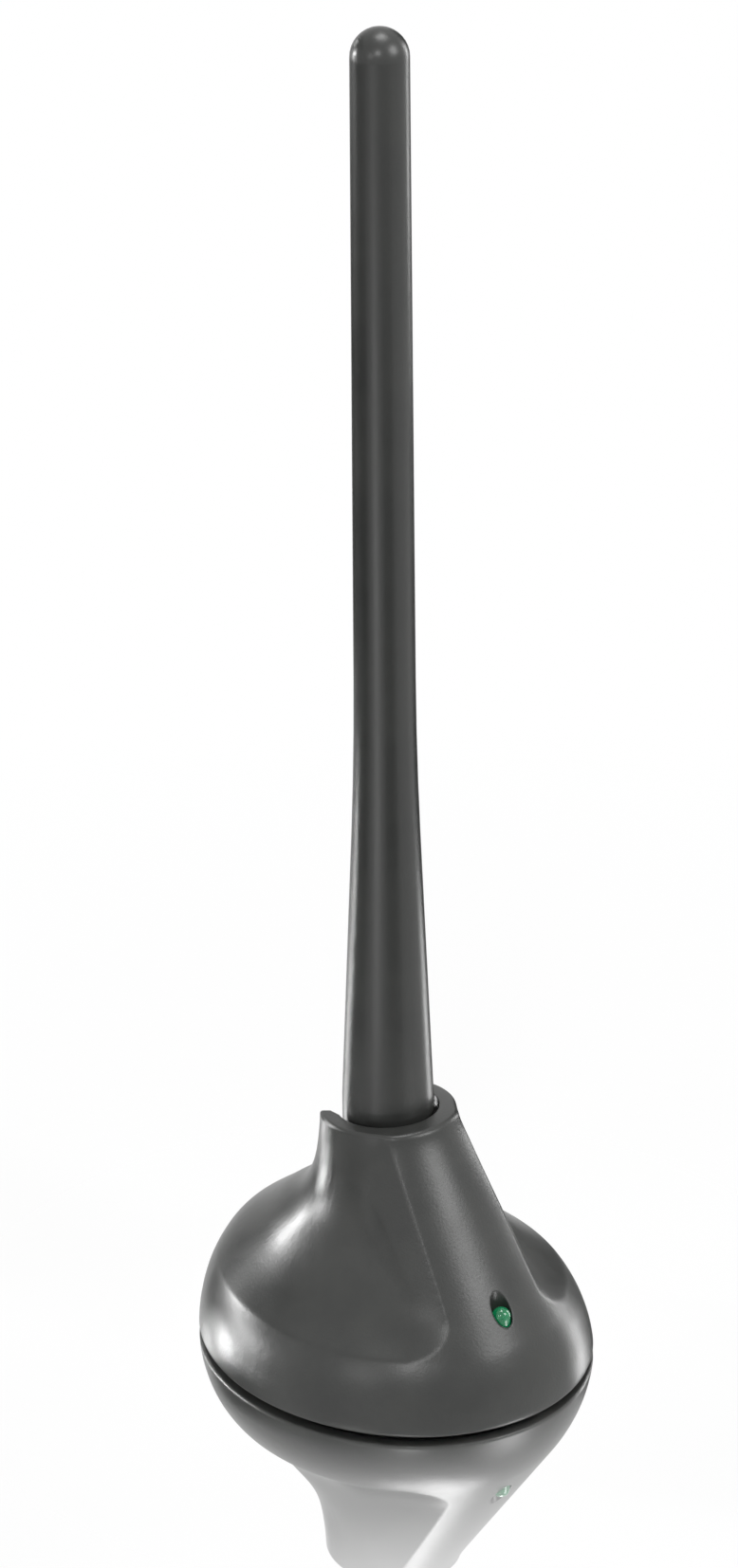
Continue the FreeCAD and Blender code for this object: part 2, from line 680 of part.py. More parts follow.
def rod_outline(body):
    """Half of the rod's outline: round foot, long cone, soft bend into the slim part, round tip."""
    plane = next(item for item in body.Origin.OriginFeatures if item.Role == "XZ_Plane")
    sketch = body.newObject("Sketcher::SketchObject", "rod_outline")
    sketch.AttachmentSupport = [(plane, "")]
    sketch.MapMode = "FlatFace"
    names = (
        ("0", "pivot_height - knuckle_radius"),
        ("knuckle_radius", "pivot_height"),
        ("knuckle_radius", "pivot_height + rod_foot_rise"),
        ("blend_low_radius", "blend_low"),
        ("blend_high_radius", "blend_high"),
        ("tip_radius", "rod_top - tip_radius"),
        ("0", "rod_top"),
    )
    foot = SIZES["knuckle_radius"]
    tip = SIZES["tip_radius"]
    foot_centre = FreeCAD.Vector(0, SIZES["pivot_height"], 0)
    tip_centre = FreeCAD.Vector(0, SIZES["rod_top"] - tip, 0)
    corners = [
        foot_centre - Y_AXIS * foot,
        foot_centre + X_AXIS * foot,
        foot_centre + X_AXIS * foot + Y_AXIS * SIZES["rod_foot_rise"],
        FreeCAD.Vector(SIZES["blend_low_radius"], SIZES["blend_low"], 0),
        FreeCAD.Vector(SIZES["blend_high_radius"], SIZES["blend_high"], 0),
        tip_centre + X_AXIS * tip,
        tip_centre + Y_AXIS * tip,
    ]
    slant = (X_AXIS - Y_AXIS).normalize()
    chord = corners[4] - corners[3]
    bend = corners[3] + chord / 2 - X_AXIS * chord.Length ** 2 / (8 * SIZES["bend_radius"])
    curves = [
        Part.Arc(corners[0], foot_centre + slant * foot, corners[1]),
        Part.LineSegment(corners[1], corners[2]),
        Part.LineSegment(corners[2], corners[3]),
        Part.Arc(corners[4], bend, corners[3]),
        Part.LineSegment(corners[4], corners[5]),
        Part.Arc(corners[5], tip_centre + (X_AXIS + Y_AXIS).normalize() * tip, corners[6]),
        Part.LineSegment(corners[6], corners[0]),
    ]
    sketch.addGeometry(curves)
    origin = (SketchAxis.ACROSS, SketchPoint.START)
    for index, ends in corner_ends(sketch, corners).items():
        sketch.addConstraint(Sketcher.Constraint("Coincident", *ends[0], *ends[1]))
        for direction, text, value in zip("XY", names[index], (corners[index].x, corners[index].y)):
            row = sketch.addConstraint(Sketcher.Constraint(f"Distance{direction}", *origin, *ends[0], value))
            sketch.setExpression(f"Constraints[{row}]", linked(text))
    row = sketch.addConstraint(Sketcher.Constraint("Radius", RodCurve.BEND, SIZES["bend_radius"]))
    sketch.setExpression(f"Constraints[{row}]", linked("bend_radius"))
    for curve in (RodCurve.FOOT, RodCurve.TIP):
        sketch.addConstraint(Sketcher.Constraint("PointOnObject", curve, SketchPoint.CENTRE, SketchAxis.UP))
    return sketch


def rod_sleeve():
    """The plastic rod: one turned form, bored for the radiator and pocketed for its pivot."""
    body = doc.addObject("PartDesign::Body", "rod_body")
    sketch = rod_outline(body)
    turned = body.newObject("PartDesign::Revolution", "rod_turned")
    turned.Profile = sketch
    turned.ReferenceAxis = (sketch, ["V_Axis"])
    turned.Angle = 360
    place(body, ("0", "rod_axis", "0"))
    foot = "pivot_height - knuckle_radius"
    tools = [cylinder("radiator_bore", "radiator_radius + pin_press", f"radiator_top - ({foot})",
                      ("0", "rod_axis", foot))]
    pocket_floor = "boss_reach - washer_thickness - washer_gap * 2"
    for side, sign in SIDES:
        start = pocket_floor if sign > 0 else "-knuckle_radius - wall"
        tools.append(cylinder(f"pocket_{side}", "boss_radius + pocket_clearance",
                              f"knuckle_radius + wall - ({pocket_floor})",
                              (start, "rod_axis", "pivot_height"), ALONG_X))
        hole_start = "pin_inner" if sign > 0 else "-knuckle_radius"
        tools.append(cylinder(f"pin_hole_{side}", "pin_radius + pin_press", "knuckle_radius - pin_inner",
                              (hole_start, "rod_axis", "pivot_height"), ALONG_X))
    return cut("rod_sleeve", body, tools)


def radiator_rod():
    """The metal rod inside the sleeve, which meets the spring contact at its foot."""
    foot = "pivot_height - sqrt(knuckle_radius * knuckle_radius - radiator_radius * radiator_radius)"
    return cylinder("radiator_rod", "radiator_radius", f"radiator_top - ({foot})", ("0", "rod_axis", foot))


SUBPARTS = (
    top_housing, base_plate, foot_pad, ballast_weight, case_screws, circuit_board, board_screws,
    shield_can, amplifier_chip, board_capacitors, cable_terminal, led_lens, led_spacer, led_leads,
    cable_gland, plunger_barrel, contact_spring, contact_plunger, friction_washers, hinge_pins,
    rod_sleeve, radiator_rod,
)


def main():
    """Build every sub-part, check it and write it out."""
    parts = [make() for make in SUBPARTS]
    doc.recompute()
    for item in doc.Objects:
        if "Invalid" in item.State or "Error" in item.State:
            raise RuntimeError(f"{item.Name} did not build")
    os.makedirs("parts", exist_ok=True)
    for item in parts:
        if item.Shape.isNull() or not item.Shape.isValid() or not item.Shape.Solids:
            raise RuntimeError(f"{item.Label} is not a sound solid")
        item.Shape.exportStep(f"parts/{item.Label}.step")


main()
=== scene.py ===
"""The look of an indoor TV antenna: a tapered plastic rod on a sculpted base, in a plain studio."""
import json
import logging
import math
from dataclasses import dataclass
from enum import Enum

import bmesh
import bpy
import numpy as np
from mathutils import Matrix, Vector
from mathutils.bvhtree import BVHTree

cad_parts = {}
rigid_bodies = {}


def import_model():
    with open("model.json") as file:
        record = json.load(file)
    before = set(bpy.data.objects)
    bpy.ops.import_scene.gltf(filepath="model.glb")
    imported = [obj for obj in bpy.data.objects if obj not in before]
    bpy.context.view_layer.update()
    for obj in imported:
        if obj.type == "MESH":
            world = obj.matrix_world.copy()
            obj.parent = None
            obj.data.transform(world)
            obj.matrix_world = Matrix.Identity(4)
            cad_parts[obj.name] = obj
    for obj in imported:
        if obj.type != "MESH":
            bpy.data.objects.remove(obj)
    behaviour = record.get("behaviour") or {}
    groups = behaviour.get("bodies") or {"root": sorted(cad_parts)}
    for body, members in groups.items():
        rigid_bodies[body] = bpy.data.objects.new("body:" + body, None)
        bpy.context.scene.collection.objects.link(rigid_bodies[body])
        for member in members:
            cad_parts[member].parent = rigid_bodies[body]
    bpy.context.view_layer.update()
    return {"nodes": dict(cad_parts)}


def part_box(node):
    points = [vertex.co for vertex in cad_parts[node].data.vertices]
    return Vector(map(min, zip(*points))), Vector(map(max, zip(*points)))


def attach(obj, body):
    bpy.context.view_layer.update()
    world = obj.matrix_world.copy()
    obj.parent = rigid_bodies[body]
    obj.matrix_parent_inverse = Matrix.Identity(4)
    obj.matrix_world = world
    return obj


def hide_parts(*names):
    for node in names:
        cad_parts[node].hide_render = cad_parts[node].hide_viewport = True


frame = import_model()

MM = 0.001
TINT_STOPS = (0.3, 0.75)
GLOSS_STOPS = (0.3, 0.7)
EDGE_SAMPLES = 6
BAR_SIDES = 96
log = logging.getLogger("antenna")


def linear(colour: str) -> tuple[float, float, float, float]:
    """Turn an sRGB colour into the linear one that a shader takes.

    Args:
        colour: Six hex digits after a hash sign.

    Returns:
        Red, green and blue in linear light, and a full alpha.
    """
    shares = [int(colour[start:start + 2], 16) / 255 for start in (1, 3, 5)]
    lit = [s / 12.92 if s <= 0.04045 else ((s + 0.055) / 1.055) ** 2.4 for s in shares]
    return (*lit, 1.0)


def per_metre(size_mm: float) -> float:
    """Give the texture scale whose features are size_mm wide."""
    return 1.0 / (size_mm * MM)


def add_node(
    tree: bpy.types.NodeTree,
    kind: str,
    inputs: dict[str | int, object] | None = None,
    settings: dict[str, object] | None = None,
) -> bpy.types.Node:
    """Add one node with its settings, values and links.

    Args:
        tree: The tree that gets the node.
        kind: The node's type name.
        inputs: A value or another node's output for each input named.
        settings: The node's own options.

    Returns:
        The new node.
    """
    node = tree.nodes.new(kind)
    for name, value in (settings or {}).items():
        setattr(node, name, value)
    for socket, value in (inputs or {}).items():
        if isinstance(value, bpy.types.NodeSocket):
            tree.links.new(value, node.inputs[socket])
        else:
            node.inputs[socket].default_value = value
    return node


@dataclass(frozen=True)
class Finish:
    """A surface as it left its process: a cloudy colour, a cloudy gloss and a fine relief."""

    name: str
    colour: str
    cloud_colour: str
    cloud_mm: float
    roughness: tuple[float, float]
    grain_mm: float
    grain_depth_mm: float
    metallic: float = 0.0
    ior: float = 1.5
    stretch: tuple[float, float, float] = (1.0, 1.0, 1.0)
    edge_mm: float = 0.15

    def material(self) -> bpy.types.Material:
        """Make the material.

        Returns:
            The finished material.
        """
        made = bpy.data.materials.new(self.name)
        made.use_nodes = True
        tree = made.node_tree
        tree.nodes.clear()
        place = add_node(tree, "ShaderNodeTexCoord").outputs["Object"]
        shader = add_node(tree, "ShaderNodeBsdfPrincipled", {
            "Base Color": self.tint(tree, place),
            "Roughness": self.gloss(tree, place),
            "Normal": self.relief(tree, place),
            "Metallic": self.metallic,
            "IOR": self.ior,
        })
        self.season(shader)
        add_node(tree, "ShaderNodeOutputMaterial", {"Surface": shader.outputs[0]})
        return made

    def clouds(self, tree: bpy.types.NodeTree, place: bpy.types.NodeSocket) -> bpy.types.NodeSocket:
        """Give soft clouds of cloud_mm across.

        Args:
            tree: The material's nodes.
            place: The point on the object.

        Returns:
            A share from 0 to 1.
        """
        return add_node(tree, "ShaderNodeTexNoise", {
            "Vector": place, "Scale": per_metre(self.cloud_mm), "Detail": 4.0, "Roughness": 0.6,
        }).outputs["Fac"]

    def tint(self, tree: bpy.types.NodeTree, place: bpy.types.NodeSocket) -> bpy.types.NodeSocket:
        """Give the colour at each point.

        Args:
            tree: The material's nodes.
            place: The point on the object.

        Returns:
            The colour.
        """
        ramp = add_node(tree, "ShaderNodeValToRGB", {"Fac": self.clouds(tree, place)})
        ramp.color_ramp.elements[0].position = TINT_STOPS[0]
        ramp.color_ramp.elements[0].color = linear(self.colour)
        ramp.color_ramp.elements[1].position = TINT_STOPS[1]
        ramp.color_ramp.elements[1].color = linear(self.cloud_colour)
        return ramp.outputs["Color"]

    def gloss(self, tree: bpy.types.NodeTree, place: bpy.types.NodeSocket) -> bpy.types.NodeSocket:
        """Give the roughness at each point.

        Args:
            tree: The material's nodes.
            place: The point on the object.

        Returns:
            The roughness.
        """
        return add_node(tree, "ShaderNodeMapRange", {
            "Value": self.clouds(tree, place),
            "From Min": GLOSS_STOPS[0], "From Max": GLOSS_STOPS[1],
            "To Min": self.roughness[0], "To Max": self.roughness[1],
        }).outputs["Result"]

    def relief(self, tree: bpy.types.NodeTree, place: bpy.types.NodeSocket) -> bpy.types.NodeSocket:
        """Give the fine relief of the surface.

        Args:
            tree: The material's nodes.
            place: The point on the object.

        Returns:
            The normal.
        """
        drawn = add_node(tree, "ShaderNodeMapping", {"Vector": place, "Scale": self.stretch})
        grain = add_node(tree, "ShaderNodeTexNoise", {
            "Vector": drawn.outputs[0], "Scale": per_metre(self.grain_mm), "Detail": 2.0,
        })
        edge = add_node(tree, "ShaderNodeBevel", {"Radius": self.edge_mm * MM}, {"samples": EDGE_SAMPLES})
        return add_node(tree, "ShaderNodeBump", {
            "Height": grain.outputs["Fac"], "Strength": 1.0, "Distance": self.grain_depth_mm * MM,
            "Normal": edge.outputs["Normal"],
        }).outputs["Normal"]

    def season(self, shader: bpy.types.Node) -> None:
        """Leave the shader as it is: a plain finish has nothing more."""


@dataclass(frozen=True)
class LampResin(Finish):
    """Tinted clear resin, cast: the colour lies deep inside a glossy skin."""

    depth: float = 0.6
    # A faint painted glow: the lamp is off, and this emission only brightens its green.
    painted_glow: float = 0.12

    def season(self, shader: bpy.types.Node) -> None:
        """Let light into the resin, and paint a faint glow on it in the paler green.

        Args:
            shader: The shader to change.
        """
        shader.inputs["Transmission Weight"].default_value = self.depth
        shader.inputs["Emission Color"].default_value = linear(self.cloud_colour)
        shader.inputs["Emission Strength"].default_value = self.painted_glow


class Surface(Enum):
    """The finishes of this antenna."""

    # Spark-eroded mould steel leaves ABS satin: soft broad highlights and a faint sparkle.
    # The real grain is about 0.1 mm and is drawn four times as coarse so that it shows.
    HOUSING = Finish("abs_spark_texture_moulded", "#303130", "#373836", cloud_mm=9.0,
                     roughness=(0.29, 0.36), grain_mm=0.45, grain_depth_mm=0.018, ior=1.45, edge_mm=0.4)
    # The same ABS from a mould polished lengthwise: satin, with the grain drawn out along the rod.
    ROD = Finish("abs_satin_moulded_rod", "#2f302f", "#353634", cloud_mm=14.0, roughness=(0.29, 0.36),
                 grain_mm=0.5, grain_depth_mm=0.014, ior=1.47, stretch=(1.0, 1.0, 0.35), edge_mm=0.3)
    # Epoxy cast in a polished cup: a wet gloss over a deep green, with a faint painted glow though the
    # lamp is off.
    LAMP = LampResin("epoxy_green_cast_lamp", "#0b6b45", "#18a86e", cloud_mm=2.0, roughness=(0.06, 0.10),
                     grain_mm=0.8, grain_depth_mm=0.002, ior=1.55)
    # Nitrile sheet, cut: dull and slightly pitted.
    FOOT = Finish("nitrile_rubber_die_cut", "#232322", "#2c2c2a", cloud_mm=5.0, roughness=(0.72, 0.85),
                  grain_mm=0.6, grain_depth_mm=0.05, ior=1.52)
    # Soft PVC, moulded: waxy, with a broad dim highlight.
    GLAND = Finish("soft_pvc_moulded", "#262726", "#2e2e2d", cloud_mm=4.0, roughness=(0.48, 0.58),
                   grain_mm=0.5, grain_depth_mm=0.02, ior=1.53)
    # ABS from a plainly textured mould: duller than the housing, with no clear highlight.
    PLATE = Finish("abs_fine_texture_moulded_plate", "#2c2d2b", "#343532", cloud_mm=8.0,
                   roughness=(0.48, 0.58), grain_mm=0.5, grain_depth_mm=0.02, ior=1.53)
    # Glass cloth in epoxy under solder mask: glossy, with the weave just felt.
    BOARD = Finish("fr4_green_solder_mask", "#14482c", "#1d5e3a", cloud_mm=1.4, roughness=(0.22, 0.34),
                   grain_mm=0.7, grain_depth_mm=0.02, ior=1.52)
    # Rolled strip, zinc plated: pale bluish metal with fine drawn lines.
    ZINC = Finish("steel_zinc_plated_rolled", "#b9bcc0", "#a9adb3", cloud_mm=6.0, roughness=(0.28, 0.40),
                  grain_mm=0.5, grain_depth_mm=0.006, metallic=1.0, stretch=(1.0, 0.08, 1.0))
    # Tinned strip, pressed: a warm white metal with soft, slightly wavy reflections.
    TIN = Finish("steel_tin_plated_pressed", "#c4c3bd", "#b3b2ab", cloud_mm=5.0, roughness=(0.24, 0.36),
                 grain_mm=0.6, grain_depth_mm=0.006, metallic=1.0)
    # Brass bar, drawn: yellow metal whose highlight is combed along the bar.
    BRASS = Finish("brass_drawn_bright", "#c9a455", "#b58f45", cloud_mm=5.0, roughness=(0.20, 0.32),
                   grain_mm=0.4, grain_depth_mm=0.005, metallic=1.0, stretch=(1.0, 1.0, 0.06))
    # Turned brass, nickel plated: bright warm grey with tight highlights.
    NICKEL = Finish("brass_nickel_plated_turned", "#c9c5ba", "#b7b3a8", cloud_mm=3.0,
                    roughness=(0.16, 0.26), grain_mm=0.3, grain_depth_mm=0.004, metallic=1.0)
    # Spring wire, drawn: mid grey metal with a thin line of light along each coil.
    SPRING = Finish("spring_steel_drawn_wire", "#9a9a9c", "#858588", cloud_mm=2.0,
                    roughness=(0.25, 0.35), grain_mm=0.3, grain_depth_mm=0.004, metallic=1.0)
    # Filled epoxy, moulded: near black and half matt.
    CHIP = Finish("epoxy_moulded_package", "#1d1d1e", "#252526", cloud_mm=1.5, roughness=(0.42, 0.52),
                  grain_mm=0.3, grain_depth_mm=0.01, ior=1.55)
    # Aluminium cans, drawn: cool pale metal with an even sheen.
    CAPACITOR = Finish("aluminium_can_sleeved", "#9fa3a8", "#8b9096", cloud_mm=2.5,
                       roughness=(0.26, 0.38), grain_mm=0.4, grain_depth_mm=0.004, metallic=1.0)
    # Natural nylon, moulded: ivory and milky, with a soft sheen.
    NYLON = Finish("nylon_natural_moulded", "#d8d3c4", "#cbc5b4", cloud_mm=3.0, roughness=(0.42, 0.54),
                   grain_mm=0.4, grain_depth_mm=0.01, ior=1.53)
    # Acetal washer, pressed: pale, waxy and slippery.
    ACETAL = Finish("acetal_pressed_washer", "#cfcfca", "#c2c2bc", cloud_mm=2.0, roughness=(0.34, 0.44),
                    grain_mm=0.3, grain_depth_mm=0.008, ior=1.48)


@dataclass
class Assembly:
    """Pieces that share one job, each with its finish."""

    title: str
    finishes: dict[str, Surface]

    def dress(self) -> None:
        """Give each solid of the assembly its finish."""
        for node, surface in self.finishes.items():
            solid = frame["nodes"][node]
            solid.data.materials.clear()
            solid.data.materials.append(MATERIALS[surface])
            log.info("%s: %s in %s", self.title, node, surface.value.name)


@dataclass
class HousingShell:
    """The moulded top of the base, drawn over its solid with the soft hollows that the mould has."""

    # How finely the skin is drawn.
    columns: int = 540
    skirt_rows: int = 36
    upper_rows: int = 90
    edge_rows: int = 6
    # The outside: the rod's axis, the skirt and the sloping rim of the neck.
    axis_y: float = 1.5 * MM
    low: float = 0.8 * MM
    crease: float = 12.03 * MM
    rim_front: float = 42.5 * MM
    rim_front_y: float = -9.35 * MM
    rim_slope: float = math.radians(4.0)
    edge_round: float = 0.5 * MM
    cast_from: float = 60.0 * MM
    # The ridge, whose half width changes with the height and along the base, and the dishes beside it.
    ridge_half: float = 19.35 * MM
    ridge_by_height: float = -0.258
    ridge_by_length: float = 0.25
    corner_round: float = 7.5 * MM
    wall_slope: float = 1.0
    dish_fillet: float = 6.0 * MM
    # The lip at the skirt's crease, which fades out towards the front and the back.
    lip: float = 0.6 * MM
    lip_low: float = 5.0 * MM
    lip_high: float = 17.0 * MM
    lip_front: float = math.radians(25.0)
    lip_front_fade: float = math.radians(40.0)
    lip_back: float = math.radians(165.0)
    lip_back_fade: float = math.radians(35.0)
    lip_rise: float = 1.5
    lip_fall: int = 2
    # The dish's wall, steeper away from the ridge, and its fillet.
    steepen_start: float = 0.4
    steepen_span: float = 1.6
    steepen_by: float = 2.5
    fillet_share: float = 1.5
    least_fillet: float = 0.01 * MM
    fill_rounds: int = 80
    last_ease: float = 0.5
    dish_start: float = math.radians(45.0)
    dish_end: float = math.radians(85.0)
    face_stretch: float = 1.14
    # The inside and the openings.
    wall: float = 2.0 * MM
    hollow_top: float = 22.0 * MM
    hollow_row_step: int = 6
    hollow_column_step: int = 10
    pivot_height: float = 36.0 * MM
    bore_radius: float = 8.25 * MM
    clear_above: float = 4.0 * MM
    neck_half: float = 12.0 * MM
    way_half: float = 7.75 * MM
    way_floor_points: int = 49
    way_start: float = 4.2 * MM
    mouth_start: float = 6.6 * MM
    mouth_end: float = 10.4 * MM
    boss_radius: float = 2.6 * MM
    boss_reach: float = 6.85 * MM
    socket_radius: float = 1.25 * MM
    socket_reach: float = 9.65 * MM
    socket_start: float = 0.9
    lamp_y: float = -27.2 * MM
    lamp_hole_radius: float = 1.75 * MM
    lamp_seat_radius: float = 2.2 * MM
    lamp_seat: tuple[float, float] = (8.2 * MM, 11.7 * MM)
    plunger_hole_radius: float = 2.0 * MM
    gland_height: float = 6.6 * MM
    gland_hole_radius: float = 2.9 * MM
    gland_seat_radius: float = 3.8 * MM
    gland_seat_y: float = 31.0 * MM
    gland_seat_depth: float = 8.0 * MM
    screw_head_radius: float = 2.2 * MM
    front_screw_y: float = -10.0 * MM
    rear_screw_x: float = 15.0 * MM
    post_low: float = 2.8 * MM
    post_radius: float = 2.6 * MM
    post_hole_radius: float = 1.27 * MM
    post_hole_top: float = 9.95 * MM
    sharp_angle: float = math.radians(34.0)

    def angles(self) -> np.ndarray:
        """Give the direction of each column, with 0 to the front."""
        return np.linspace(0.0, 2 * math.pi, self.columns, endpoint=False)

    def from_front(self) -> np.ndarray:
        """Give how far each column is turned from the front, to either side."""
        return np.abs((self.angles() + math.pi) % (2 * math.pi) - math.pi)

    def rim_height(self, y: float) -> float:
        """Give the height of the sloping rim at a distance along the base."""
        return self.rim_front - (y - self.rim_front_y) * math.tan(self.rim_slope)

    def heights(self) -> np.ndarray:
        """Lay out the rows: close together at the two edges, and one on the skirt's crease.

        Returns:
            The height of each row in each column.
        """
        turn = np.linspace(0.0, math.pi / 2, self.edge_rows)
        near_edge = self.edge_round * (1 - np.cos(turn))
        skirt = np.linspace(self.low + self.edge_round, self.crease, self.skirt_rows)[1:]
        share = np.linspace(0.0, 1.0, self.upper_rows)[1:]
        neck = self.rim_front_y - self.axis_y
        tops = np.array([self.rim_height(self.axis_y + neck * math.cos(a)) for a in self.angles()])
        lower = np.concatenate([self.low + near_edge, skirt])
        upper = self.crease + share[:, None] * (tops - self.edge_round - self.crease)[None]
        rim = tops[None] - near_edge[::-1][1:, None]
        return np.concatenate([np.repeat(lower[:, None], self.columns, axis=1), upper, rim])

    def measure(self, heights: np.ndarray) -> np.ndarray:
        """Measure how far the solid reaches from the rod's axis, passing over its openings.

        Args:
            heights: The height of each row in each column.

        Returns:
            The reach at each row and column.
        """
        solid = frame["nodes"]["top_housing"]
        corners = [solid.matrix_world @ v.co for v in solid.data.vertices]
        tree = BVHTree.FromPolygons(corners, [tuple(f.vertices) for f in solid.data.polygons])
        reach = np.full(heights.shape, np.nan)
        top_margin = 0.05 * MM
        for column, angle in enumerate(self.angles()):
            out = Vector((math.sin(angle), -math.cos(angle), 0.0))
            for row, height in enumerate(heights[:, column]):
                level = min(max(height, self.low + top_margin), heights[-1, column] - top_margin)
                start = Vector((0.0, self.axis_y, level)) + out * self.cast_from
                hit = tree.ray_cast(start, -out)[0]
                if hit is not None and not self.in_opening(hit):
                    reach[row, column] = (hit - Vector((0.0, self.axis_y, level))).length
        return self.bridge(reach)

    def in_opening(self, point: Vector) -> bool:
        """Tell whether a point lies on the wall of an opening and not on the outside.

        Args:
            point: A point on the solid.

        Returns:
            True on the wall of the lamp's hole, the gland's hole, the bore or the rod's way.
        """
        margin = 0.08 * MM
        in_lamp_hole = math.hypot(point.x, point.y - self.lamp_y) < self.lamp_hole_radius + margin
        in_gland_hole = (point.y > 0 and math.hypot(point.x, point.z - self.gland_height)
                         < self.gland_hole_radius + margin)
        from_axis = math.hypot(point.x, point.y - self.axis_y)
        in_way = (abs(point.x) < self.way_half + margin and point.z > self.pivot_height - self.bore_radius
                  and (point.y > self.way_start or from_axis < self.bore_radius + margin))
        below_way = math.hypot(point.x, point.z - self.pivot_height) > self.way_half + margin
        under = point.z < self.pivot_height and below_way and from_axis > self.bore_radius + margin
        return in_lamp_hole or in_gland_hole or (in_way and not under)

    @staticmethod
    def bridge(reach: np.ndarray) -> np.ndarray:
        """Carry the outside across its openings, row by row.

        Args:
            reach: The measured reach, with no value at openings.

        Returns:
            The reach with every value filled.
        """
        columns = np.arange(reach.shape[1])
        for row in reach:
            known = ~np.isnan(row)
            row[~known] = np.interp(columns[~known], columns[known], row[known], period=len(columns))
        return reach

    @staticmethod
    def neighbours(reach: np.ndarray) -> np.ndarray:
        """Give the mean of the four neighbours of each point.

        Args:
            reach: The reach at each row and column.

        Returns:
            The mean at each row and column.
        """
        padded = np.concatenate([reach[:1], reach, reach[-1:]])
        around = np.roll(reach, 1, axis=1) + np.roll(reach, -1, axis=1)
        return (padded[:-2] + padded[2:] + around) / 4

    def past_edge(self, reach: np.ndarray, heights: np.ndarray) -> tuple[np.ndarray, np.ndarray]:
        """Tell how far each point lies inside a dish beside the ridge.

        Args:
            reach: The reach of the form without dishes.
            heights: The height of each row in each column.

        Returns:
            The way from the ridge's edge alone, and the way from the dish's whole edge, with its round
            corner.
        """
        across = np.abs(reach * np.sin(self.angles()))
        along = self.axis_y - reach * np.cos(self.angles())
        half = self.ridge_half + self.ridge_by_height * heights + self.ridge_by_length * along
        from_ridge = across - half
        from_skirt = (heights - self.crease) * self.face_stretch
        corner = self.corner_round
        into_ridge, into_skirt = (np.clip(corner - way, 0.0, None) for way in (from_ridge, from_skirt))
        rounded = corner - np.hypot(into_ridge, into_skirt)
        in_corner = (into_ridge > 0) & (into_skirt > 0)
        return from_ridge, np.where(in_corner, rounded, np.minimum(from_ridge, from_skirt))

    def crease_lip(self, heights: np.ndarray) -> np.ndarray:
        """Give the slight lip along the sides that makes the skirt's crease show.

        Args:
            heights: The height of each row in each column.

        Returns:
            How far the lip stands out at each row and column.
        """
        turn = self.from_front()
        front = np.clip((turn - self.lip_front) / self.lip_front_fade, 0.0, 1.0)
        back = np.clip((self.lip_back - turn) / self.lip_back_fade, 0.0, 1.0)
        up = np.clip((heights - self.lip_low) / (self.crease - self.lip_low), 0.0, 1.0)
        down = np.clip(1 - (heights - self.crease) / (self.lip_high - self.crease), 0.0, 1.0)
        return self.lip * front * back * up ** self.lip_rise * down ** self.lip_fall

    def soften(self, reach: np.ndarray, heights: np.ndarray) -> np.ndarray:
        """Fillet the dishes beside the ridge, round their lower corners and ease every edge.

        Args:
            reach: The reach at each row and column.
            heights: The height of each row in each column.

        Returns:
            The softened reach.
        """
        reach = reach + self.crease_lip(heights)
        share = np.clip((heights - self.crease) / (heights[-1:] - self.crease), 0.0, 1.0)
        foot = reach[self.edge_rows + self.skirt_rows - 2]
        face = np.where(heights <= self.crease, reach, foot + share * (reach[-1] - foot))
        from_ridge, inside = self.past_edge(face, heights)
        past_corner = from_ridge / self.corner_round - self.steepen_start
        away = np.clip(past_corner, 0.0, self.steepen_span) / self.steepen_span
        slope = self.wall_slope * (1 + self.steepen_by * away ** 2 * (3 - 2 * away))
        wall = face - slope * np.clip(inside, 0.0, None)
        fillet = np.clip(self.fillet_share * (face - reach), self.least_fillet, self.dish_fillet)
        mixing = np.clip(1 - np.abs(wall - reach) / fillet, 0.0, 1.0)
        dished = np.minimum(np.maximum(wall, reach) + fillet * mixing ** 2 / 4, np.maximum(face, reach))
        front = np.clip((self.dish_end - self.from_front()) / (self.dish_end - self.dish_start), 0.0, 1.0)
        share = np.where(heights > self.crease, front ** 2 * (3 - 2 * front), 0.0)
        shaped = reach + share * (dished - reach)
        for _ in range(self.fill_rounds):
            shaped = shaped + share * np.clip(self.neighbours(shaped) - shaped, 0.0, None)
        return shaped + self.last_ease * (self.neighbours(shaped) - shaped)

    def rounded(self, reach: np.ndarray, heights: np.ndarray) -> np.ndarray:
        """Draw the reach in over the rounded edges at the foot of the skirt and at the rim.

        Args:
            reach: The reach at each row and column.
            heights: The height of each row in each column.

        Returns:
            The reach with round edges.
        """
        gap = np.minimum(heights - self.low, heights[-1:] - heights)
        into = np.clip(self.edge_round - gap, 0.0, self.edge_round)
        return reach - self.edge_round + np.sqrt(self.edge_round ** 2 - into ** 2)

    def skin(self, name: str, reach: np.ndarray, heights: np.ndarray) -> bpy.types.Object:
        """Make a closed form from a reach at each row and column.

        Args:
            name: The name of the new object.
            reach: The reach at each row and column.
            heights: The height of each row in each column.

        Returns:
            The object, not yet shown in the scene.
        """
        turns = np.linspace(0.0, 2 * math.pi, reach.shape[1], endpoint=False)
        x = reach * np.sin(turns)
        y = self.axis_y - reach * np.cos(turns)
        rows, columns = reach.shape
        corners = np.stack([x, y, heights], axis=-1).reshape(-1, 3).tolist()
        faces = []
        for row in range(rows - 1):
            for column in range(columns):
                side = (column + 1) % columns
                faces.append((row * columns + column, row * columns + side,
                              (row + 1) * columns + side, (row + 1) * columns + column))
        faces.append(tuple(range(columns))[::-1])
        faces.append(tuple(range((rows - 1) * columns, rows * columns)))
        mesh = bpy.data.meshes.new(name)
        mesh.from_pydata(corners, [], faces)
        mesh.update()
        return bpy.data.objects.new(name, mesh)

